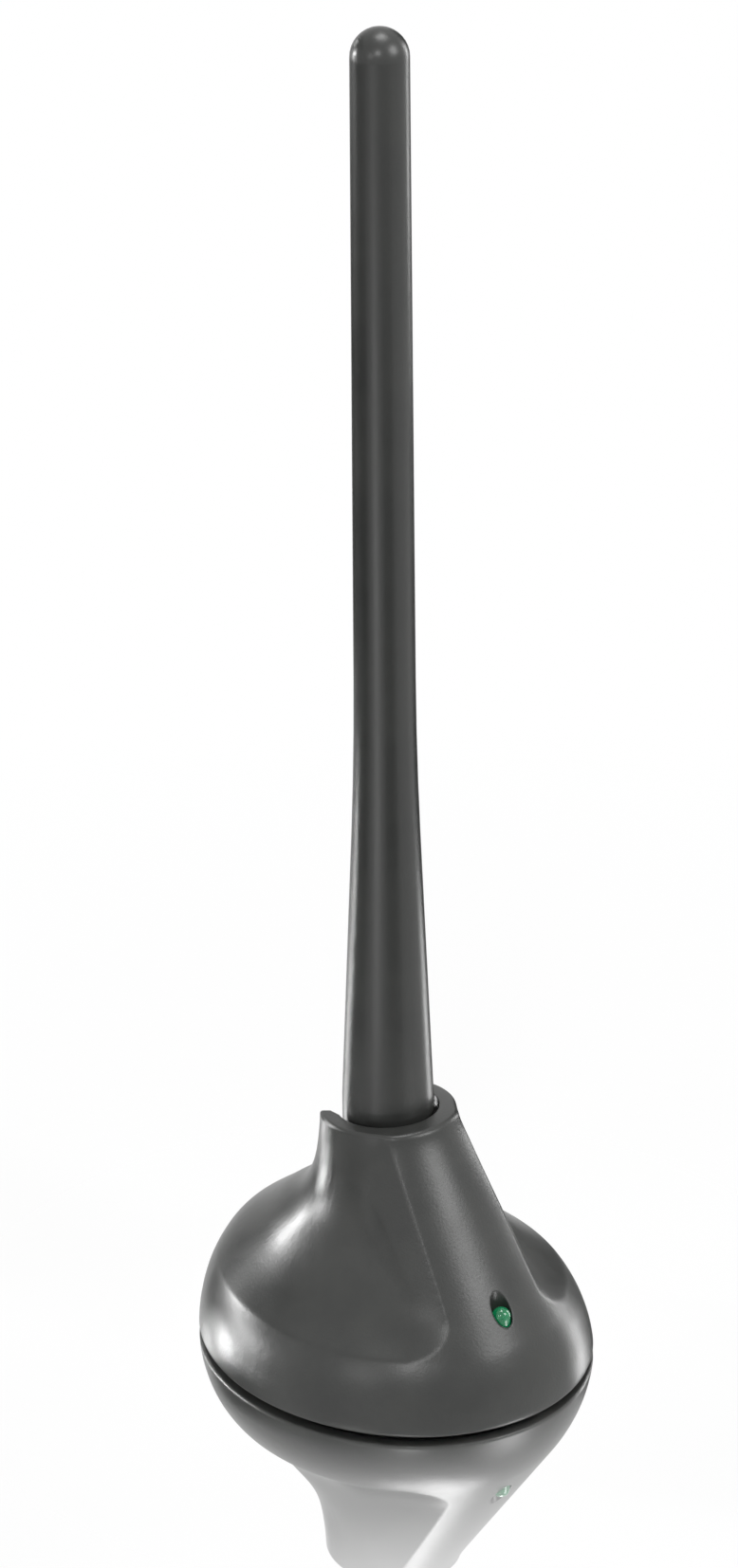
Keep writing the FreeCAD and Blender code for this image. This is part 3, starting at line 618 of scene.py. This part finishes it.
    @staticmethod
    def rod_tool(
        name: str, radius: float, start: tuple[float, float, float], end: tuple[float, float, float]
    ) -> bpy.types.Object:
        """Make a round bar between two points.

        Args:
            name: The name of the new object.
            radius: The bar's radius.
            start: The middle of one end.
            end: The middle of the other end.

        Returns:
            The object, not yet shown in the scene.
        """
        run = Vector(end) - Vector(start)
        form = bmesh.new()
        bmesh.ops.create_cone(form, cap_ends=True, segments=BAR_SIDES, radius1=radius, radius2=radius,
                              depth=run.length)
        turn = run.to_track_quat("Z", "Y").to_matrix().to_4x4()
        form.transform(Matrix.Translation((Vector(start) + Vector(end)) / 2) @ turn)
        mesh = bpy.data.meshes.new(name)
        form.to_mesh(mesh)
        form.free()
        return bpy.data.objects.new(name, mesh)

    def way_tool(self) -> bpy.types.Object:
        """Make the way out of the neck for the folding rod: a channel with a round floor and a wide mouth.

        Returns:
            The object, not yet shown in the scene.
        """
        turns = np.linspace(math.pi, 2 * math.pi, self.way_floor_points)
        outline = [(self.way_half * math.cos(t), self.pivot_height + self.way_half * math.sin(t))
                   for t in turns]
        above = self.rim_front + self.clear_above
        outline += [(self.way_half, above), (-self.way_half, above)]
        count = len(outline)
        widened = 1 + (self.mouth_end - self.mouth_start) / self.way_half
        rings = ((self.way_start, 1.0), (self.mouth_start, 1.0),
                 (self.mouth_end, widened), (self.cast_from, widened))
        corners = [(x * wide, y, z) for y, wide in rings for x, z in outline]
        last = (len(rings) - 1) * count
        faces = [tuple(range(count)), tuple(range(last, last + count))[::-1]]
        for ring in range(len(rings) - 1):
            for i in range(count):
                here, after = ring * count + i, ring * count + (i + 1) % count
                faces.append((here, here + count, after + count, after))
        mesh = bpy.data.meshes.new("rod_way")
        mesh.from_pydata(corners, [], faces)
        return bpy.data.objects.new("rod_way", mesh)

    @staticmethod
    def take_out(piece: bpy.types.Object, tools: list[bpy.types.Object]) -> None:
        """Cut tools out of a piece and throw the tools away.

        Args:
            piece: The object that is cut.
            tools: The objects that are taken out of it.
        """
        shown = bpy.context.collection.objects
        shown.link(piece)
        for tool in tools:
            shown.link(tool)
            change = piece.modifiers.new(tool.name, "BOOLEAN")
            change.operation = "DIFFERENCE"
            change.solver = "EXACT"
            change.object = tool
        final = piece.evaluated_get(bpy.context.evaluated_depsgraph_get())
        mesh = bpy.data.meshes.new_from_object(final)
        piece.modifiers.clear()
        piece.data = mesh
        shown.unlink(piece)
        for tool in tools:
            bpy.data.objects.remove(tool)

    def screw_places(self) -> list[tuple[float, float]]:
        """Find the four case screws from the box round them.

        Returns:
            The place of each screw across and along the base.
        """
        low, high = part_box("case_screws")
        head = self.screw_head_radius
        rear = high[1] - head
        return [(low[0] + head, self.front_screw_y), (high[0] - head, self.front_screw_y),
                (-self.rear_screw_x, rear), (self.rear_screw_x, rear)]

    def hollow(self, reach: np.ndarray, heights: np.ndarray) -> bpy.types.Object:
        """Make the hollow inside the shell, with the screw posts left standing.

        Args:
            reach: The reach of the outside.
            heights: The height of each row in each column.

        Returns:
            The hollow as a closed form.
        """
        step = self.hollow_column_step
        inside = [row for row in range(0, len(heights), self.hollow_row_step)
                  if heights[row, 0] < self.hollow_top + self.wall]
        drawn_in = reach[inside][:, ::step] - self.wall
        lowered = heights[inside][:, ::step] - self.wall
        form = self.skin("hollow", drawn_in, lowered)
        posts = [self.rod_tool(f"post_{i}", self.post_radius,
                               (x, y, self.post_low), (x, y, self.hollow_top))
                 for i, (x, y) in enumerate(self.screw_places())]
        self.take_out(form, posts)
        return form

    def openings(self) -> list[bpy.types.Object]:
        """Make the tools for every opening of the shell.

        Returns:
            The tools.
        """
        sides = tuple(enumerate((-1, 1)))
        axis, pivot, gland = self.axis_y, self.pivot_height, self.gland_height
        bore_floor = pivot - self.bore_radius
        lamp_low, lamp_high = self.lamp_seat
        bore = self.rod_tool("bore", self.bore_radius, (0, axis, bore_floor),
                             (0, axis, self.rim_front + self.clear_above))
        self.take_out(bore, [
            self.rod_tool(f"boss_{i}", self.boss_radius, (side * self.boss_reach, axis, pivot),
                          (side * self.neck_half, axis, pivot)) for i, side in sides])
        way = self.way_tool()
        bars = [(f"socket_{i}", self.socket_radius,
                 (side * self.boss_reach * self.socket_start, axis, pivot),
                 (side * self.socket_reach, axis, pivot)) for i, side in sides]
        bars += [
            ("lamp_hole", self.lamp_hole_radius, (0, self.lamp_y, lamp_low),
             (0, self.lamp_y, self.rim_front)),
            ("lamp_seat", self.lamp_seat_radius, (0, self.lamp_y, lamp_low),
             (0, self.lamp_y, lamp_high)),
            ("plunger_hole", self.plunger_hole_radius, (0, axis, lamp_low),
             (0, axis, bore_floor + self.wall)),
            ("gland_hole", self.gland_hole_radius, (0, self.gland_seat_y - self.wall, gland),
             (0, self.cast_from, gland)),
            ("gland_seat", self.gland_seat_radius, (0, self.gland_seat_y - self.gland_seat_depth, gland),
             (0, self.gland_seat_y, gland)),
        ]
        bars += [(f"screw_hole_{i}", self.post_hole_radius, (x, y, self.low), (x, y, self.post_hole_top))
                 for i, (x, y) in enumerate(self.screw_places())]
        return [bore, way] + [self.rod_tool(*bar) for bar in bars]

    def build(self) -> None:
        """Make the shell, cut its openings and put it in the place of its solid."""
        heights = self.heights()
        reach = self.soften(self.measure(heights), heights)
        shell = self.skin("housing_shell", self.rounded(reach, heights), heights)
        self.take_out(shell, [self.hollow(reach, heights)] + self.openings())
        bpy.context.collection.objects.link(shell)
        shell.data.polygons.foreach_set("use_smooth", [True] * len(shell.data.polygons))
        shell.data.set_sharp_from_angle(angle=self.sharp_angle)
        shell.data.materials.clear()
        shell.data.materials.append(MATERIALS[Surface.HOUSING])
        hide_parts("top_housing")
        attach(shell, "base")
        log.info("casing: housing_shell with %d faces", len(shell.data.polygons))


@dataclass(frozen=True)
class Softbox:
    """One soft lamp: its direction in degrees, its distance and size in metres, its power in watts."""

    name: str
    azimuth: float
    elevation: float
    distance: float
    size: tuple[float, float]
    power: float


@dataclass
class Studio:
    """The pale floor, the soft lamps and the camera of the photograph."""

    # The camera, and the pixels on which the middle of the base and the rod's tip have to fall.
    picture: tuple[int, int] = (778, 1654)
    camera_place: tuple[float, float, float] = (-0.4222, -0.5404, 0.4120)
    lens_mm: float = 111.4
    sensor_mm: float = 36.0
    base_pixel: tuple[float, float] = (417.0, 1407.0)
    tip_pixel: tuple[float, float] = (400.0, 30.0)
    tip_place: tuple[float, float, float] = (0.0, 0.0015, 0.2194)
    clip_far: float = 20.0
    # The light: where the lamps and the cards face, and how strong the surroundings and lit cards are.
    lit_point: tuple[float, float, float] = (0.0, 0.0, 0.03)
    ambient: float = 0.15
    card_light: float = 3.2
    card_aim: tuple[float, float, float] = (0.0, 0.0, 0.1)
    card_lift: float = 0.0005
    # The floor: from where to where its mirror and the shadow on it fade, in metres, and how far.
    floor_half: float = 3.0
    mirror_reach: tuple[float, float] = (0.034, 0.095)
    mirror_far: float = 0.05
    mirror_blur: float = 0.06
    behind_reach: tuple[float, float] = (-0.02, 0.03)
    behind_mirror: float = 0.85
    shadow_reach: tuple[float, float] = (0.05, 0.25)
    shadow_clear: float = 0.75
    softboxes: tuple[Softbox, ...] = (
        Softbox("right_softbox", 25.0, 39.0, 1.05, (0.42, 0.42), power=4.7),
        Softbox("back_left_softbox", -153.0, 13.0, 0.95, (0.09, 0.11), power=4.0),
        Softbox("neck_softbox", -174.0, 25.0, 0.95, (0.12, 0.12), power=0.7),
        Softbox("low_left_softbox", -139.0, 5.0, 0.90, (0.32, 0.09), power=3.0),
        Softbox("right_strip", 90.0, 14.0, 0.92, (0.16, 0.40), power=2.0),
        Softbox("left_softbox", -74.0, 28.0, 0.90, (0.20, 0.20), power=0.5),
        Softbox("near_camera_softbox", -46.0, 40.0, 0.90, (0.12, 0.12), power=1.2),
        Softbox("top_softbox", 100.0, 84.0, 1.00, (0.36, 0.36), power=3.7),
    )

    def sight(self, pixel: tuple[float, float]) -> Vector:
        """Give the direction in which the camera sees a pixel.

        Args:
            pixel: Across and down from the picture's top left corner.

        Returns:
            A unit vector in the camera's own axes.
        """
        focal = self.lens_mm / self.sensor_mm * max(self.picture)
        across = (pixel[0] - self.picture[0] / 2) / focal
        up = (self.picture[1] / 2 - pixel[1]) / focal
        return Vector((across, up, -1.0)).normalized()

    @staticmethod
    def axes(first: Vector, second: Vector) -> Matrix:
        """Build square axes from two directions.

        Args:
            first: The direction of the first axis.
            second: A direction in the plane of the first two axes.

        Returns:
            The axes as the columns of a matrix.
        """
        third = first.cross(second).normalized()
        return Matrix((first, third.cross(first), third)).transposed()

    def camera(self) -> None:
        """Set up the camera so that the base and the tip fall on their pixels."""
        place = Vector(self.camera_place)
        to_base = (-place).normalized()
        to_tip = (Vector(self.tip_place) - place).normalized()
        seen = self.axes(self.sight(self.base_pixel), self.sight(self.tip_pixel))
        turn = self.axes(to_base, to_tip) @ seen.transposed()
        lens = bpy.data.cameras.new("photo_camera")
        lens.lens = self.lens_mm
        lens.sensor_width = self.sensor_mm
        lens.sensor_fit = "AUTO"
        lens.clip_end = self.clip_far
        camera = bpy.data.objects.new("photo_camera", lens)
        camera.matrix_world = Matrix.Translation(place) @ turn.to_4x4()
        bpy.context.collection.objects.link(camera)
        bpy.context.scene.camera = camera

    @staticmethod
    def bearing(azimuth: float, elevation: float, distance: float) -> Vector:
        """Give the place in a direction from the object.

        Args:
            azimuth: Degrees to the right of its front.
            elevation: Degrees above the floor.
            distance: Metres away.

        Returns:
            The place.
        """
        turn, rise = math.radians(azimuth), math.radians(elevation)
        return distance * Vector((
            math.sin(turn) * math.cos(rise), -math.cos(turn) * math.cos(rise), math.sin(rise)))

    def hang(self, softbox: Softbox) -> None:
        """Hang one soft lamp that faces the object.

        Args:
            softbox: The lamp.
        """
        lamp = bpy.data.lights.new(softbox.name, "AREA")
        lamp.shape = "RECTANGLE"
        lamp.size, lamp.size_y = softbox.size
        lamp.energy = softbox.power
        place = self.bearing(softbox.azimuth, softbox.elevation, softbox.distance)
        box = bpy.data.objects.new(softbox.name, lamp)
        box.location = place
        box.rotation_mode = "QUATERNION"
        box.rotation_quaternion = (Vector(self.lit_point) - place).to_track_quat("-Z", "Y")
        bpy.context.collection.objects.link(box)

    @staticmethod
    def card_finish(name: str, colour: str, strength: float) -> bpy.types.Material:
        """Make the finish of a card: matt or glowing in front, and nothing from behind.

        Rays off the sharp mirror in the floor pass through it too, so no card shows in the picture.

        Args:
            name: The finish's name.
            colour: Its colour.
            strength: How much light it gives; 1 is white.

        Returns:
            The finish.
        """
        made = bpy.data.materials.new(name)
        made.use_nodes = True
        tree = made.node_tree
        tree.nodes.clear()
        if strength:
            shader = add_node(tree, "ShaderNodeEmission", {"Color": linear(colour), "Strength": strength})
        else:
            shader = add_node(tree, "ShaderNodeBsdfDiffuse", {"Color": linear(colour)})
        hidden = add_node(tree, "ShaderNodeMath", {
            0: add_node(tree, "ShaderNodeNewGeometry").outputs["Backfacing"],
            1: add_node(tree, "ShaderNodeLightPath").outputs["Is Singular Ray"],
        }, {"operation": "MAXIMUM"})
        one_sided = add_node(tree, "ShaderNodeMixShader", {
            0: hidden.outputs[0],
            1: shader.outputs[0],
            2: add_node(tree, "ShaderNodeBsdfTransparent").outputs[0],
        })
        add_node(tree, "ShaderNodeOutputMaterial", {"Surface": one_sided.outputs[0]})
        return made

    def card(self, name: str, corners: list[Vector], finish: bpy.types.Material) -> None:
        """Set up one card that the camera doesn't see, for the dark and light bands on the object.

        Args:
            name: The card's name.
            corners: Its four corners.
            finish: Its finish.
        """
        faces_out = (corners[1] - corners[0]).cross(corners[2] - corners[0])
        to_object = Vector(self.card_aim) - (corners[0] + corners[2]) / 2
        mesh = bpy.data.meshes.new(name)
        mesh.from_pydata(corners, [], [(0, 1, 2, 3) if faces_out.dot(to_object) > 0 else (3, 2, 1, 0)])
        mesh.materials.append(finish)
        card = bpy.data.objects.new(name, mesh)
        card.visible_camera = False
        bpy.context.collection.objects.link(card)

    def cards(self) -> None:
        """Stand black cards behind the object, and lay black and lit ones on the floor round it."""
        black = self.card_finish("black_card_matt", "#0a0a0a", 0.0)
        lit = self.card_finish("lit_card", "#ffffff", self.card_light)
        # Standing cards: from and to in degrees round the object, then up, and the distance in metres.
        for name, (start, end), (low, high), distance in (
            ("back_left_flag", (-182.0, -122.0), (3.0, 40.0), 1.25),
            ("back_right_flag", (100.0, 129.0), (0.5, 35.0), 1.10),
            ("rod_flag", (-146.0, -122.0), (9.5, 31.0), 0.50),
        ):
            corners = [self.bearing(turn, rise, distance)
                       for turn, rise in ((start, low), (end, low), (end, high), (start, high))]
            self.card(name, corners, black)
        # Cards on the floor: from and to in degrees round the object, then in metres away from it.
        lift = Vector((0.0, 0.0, self.card_lift))
        for name, (start, end), (near, far), finish in (
            ("far_left_floor_flag", (-200.0, -147.0), (0.28, 0.80), black),
            ("left_floor_flag", (-147.0, -98.0), (0.13, 0.86), black),
            ("left_floor_light", (-76.0, -58.0), (0.13, 0.60), lit),
            ("front_floor_flag", (-40.0, 2.0), (0.14, 0.60), black),
            ("right_floor_flag", (84.0, 118.0), (0.18, 0.60), black),
        ):
            corners = [self.bearing(turn, 0.0, reach) + lift
                       for turn, reach in ((start, near), (end, near), (end, far), (start, far))]
            self.card(name, corners, finish)

    @staticmethod
    def seen_directly(tree: bpy.types.NodeTree) -> bpy.types.NodeSocket:
        """Tell the rays that see the background from those that carry its light.

        Args:
            tree: The nodes of the floor or the world.

        Returns:
            1 for camera, glossy and transmission rays, and 0 for others.
        """
        path = add_node(tree, "ShaderNodeLightPath").outputs
        seen = add_node(tree, "ShaderNodeMath", {
            0: path["Is Camera Ray"], 1: path["Is Glossy Ray"],
        }, {"operation": "MAXIMUM"})
        return add_node(tree, "ShaderNodeMath", {
            0: seen.outputs[0], 1: path["Is Transmission Ray"],
        }, {"operation": "MAXIMUM"}).outputs[0]

    def world(self) -> None:
        """Surround the scene with white that shows fully and lights gently."""
        world = bpy.data.worlds.new("studio")
        bpy.context.scene.world = world
        world.use_nodes = True
        tree = world.node_tree
        tree.nodes.clear()
        strength = add_node(tree, "ShaderNodeMapRange", {
            "Value": self.seen_directly(tree), "To Min": self.ambient, "To Max": 1.0,
        })
        back = add_node(tree, "ShaderNodeBackground", {
            "Color": linear("#ffffff"), "Strength": strength.outputs["Result"],
        })
        add_node(tree, "ShaderNodeOutputWorld", {"Surface": back.outputs[0]})

    def floor_finish(self) -> bpy.types.Material:
        """Make polished white acrylic: a clear mirror image at the object that fades away from it.

        Returns:
            The finish.
        """
        made = bpy.data.materials.new("white_acrylic_sheet")
        made.use_nodes = True
        tree = made.node_tree
        tree.nodes.clear()
        path = add_node(tree, "ShaderNodeLightPath").outputs
        place = add_node(tree, "ShaderNodeTexCoord").outputs["Object"]
        away = add_node(tree, "ShaderNodeVectorMath", {0: place}, {"operation": "LENGTH"})
        near = add_node(tree, "ShaderNodeMapRange", {
            "Value": away.outputs["Value"],
            "From Min": self.mirror_reach[0], "From Max": self.mirror_reach[1],
            "To Min": 1.0, "To Max": self.mirror_far,
        })
        # Behind the object the floor is a mirror only as the object itself sees it.
        to_camera = add_node(tree, "ShaderNodeVectorMath", {
            0: place, 1: Vector(self.camera_place[:2]).normalized().to_3d(),
        }, {"operation": "DOT_PRODUCT"})
        behind = add_node(tree, "ShaderNodeMapRange", {
            "Value": to_camera.outputs["Value"],
            "From Min": self.behind_reach[0], "From Max": self.behind_reach[1],
            "To Min": self.behind_mirror, "To Max": 0.0,
        })
        from_object = add_node(tree, "ShaderNodeMath", {
            0: behind.outputs["Result"], 1: path["Is Glossy Ray"],
        }, {"operation": "MULTIPLY"})
        mirror = add_node(tree, "ShaderNodeMath", {
            0: near.outputs["Result"], 1: from_object.outputs[0],
        }, {"operation": "MAXIMUM"})
        # The sheet is plain white, apart from a faint shadow close to the object.
        white = add_node(tree, "ShaderNodeEmission", {"Color": linear("#ffffff"), "Strength": 1.0})
        matt = add_node(tree, "ShaderNodeBsdfDiffuse", {"Color": linear("#f2f2f2")})
        clear = add_node(tree, "ShaderNodeMapRange", {
            "Value": away.outputs["Value"],
            "From Min": self.shadow_reach[0], "From Max": self.shadow_reach[1],
            "To Min": self.shadow_clear, "To Max": 1.0,
        })
        shown = add_node(tree, "ShaderNodeMath", {
            0: self.seen_directly(tree), 1: clear.outputs["Result"],
        }, {"operation": "MULTIPLY"})
        pale = add_node(tree, "ShaderNodeMixShader", {
            0: shown.outputs[0], 1: matt.outputs[0], 2: white.outputs[0],
        })
        # The camera gets a sharp mirror, because the cards let only sharp reflections through.
        blur = add_node(tree, "ShaderNodeMapRange", {
            "Value": path["Is Camera Ray"], "To Min": self.mirror_blur, "To Max": 0.0,
        })
        gloss = add_node(tree, "ShaderNodeBsdfGlossy", {
            "Color": linear("#ffffff"), "Roughness": blur.outputs["Result"],
        })
        sheet = add_node(tree, "ShaderNodeMixShader", {
            0: mirror.outputs[0], 1: pale.outputs[0], 2: gloss.outputs[0],
        })
        add_node(tree, "ShaderNodeOutputMaterial", {"Surface": sheet.outputs[0]})
        return made

    def floor(self) -> None:
        """Lay the polished white floor."""
        mesh = bpy.data.meshes.new("floor")
        half = self.floor_half
        corners = [(-half, -half, 0.0), (half, -half, 0.0), (half, half, 0.0), (-half, half, 0.0)]
        mesh.from_pydata(corners, [], [(0, 1, 2, 3)])
        floor = bpy.data.objects.new("floor", mesh)
        bpy.context.collection.objects.link(floor)
        mesh.materials.append(self.floor_finish())

    def build(self) -> None:
        """Set up the whole studio."""
        self.camera()
        for softbox in self.softboxes:
            self.hang(softbox)
        self.cards()
        self.world()
        self.floor()
        bpy.context.scene.view_settings.view_transform = "Standard"


MATERIALS = {surface: surface.value.material() for surface in Surface}

ASSEMBLIES = (
    Assembly("casing", {
        "top_housing": Surface.HOUSING, "base_plate": Surface.PLATE, "foot_pad": Surface.FOOT,
        "ballast_weight": Surface.ZINC, "case_screws": Surface.ZINC, "cable_gland": Surface.GLAND,
    }),
    Assembly("electronics", {
        "circuit_board": Surface.BOARD, "board_screws": Surface.ZINC, "shield_can": Surface.TIN,
        "amplifier_chip": Surface.CHIP, "board_capacitors": Surface.CAPACITOR,
        "cable_terminal": Surface.NYLON,
    }),
    Assembly("lamp", {
        "led_lens": Surface.LAMP, "led_spacer": Surface.NYLON, "led_leads": Surface.TIN,
    }),
    Assembly("contact", {
        "plunger_barrel": Surface.BRASS, "contact_plunger": Surface.NICKEL,
        "contact_spring": Surface.SPRING,
    }),
    Assembly("rod", {
        "rod_sleeve": Surface.ROD, "radiator_rod": Surface.BRASS, "hinge_pins": Surface.NICKEL,
        "friction_washers": Surface.ACETAL,
    }),
)


def main() -> None:
    """Dress the antenna and set up the studio."""
    logging.basicConfig(level=logging.INFO, format="%(message)s")
    for assembly in ASSEMBLIES:
        assembly.dress()
    HousingShell().build()
    Studio().build()


if __name__ == "__main__":
    main()
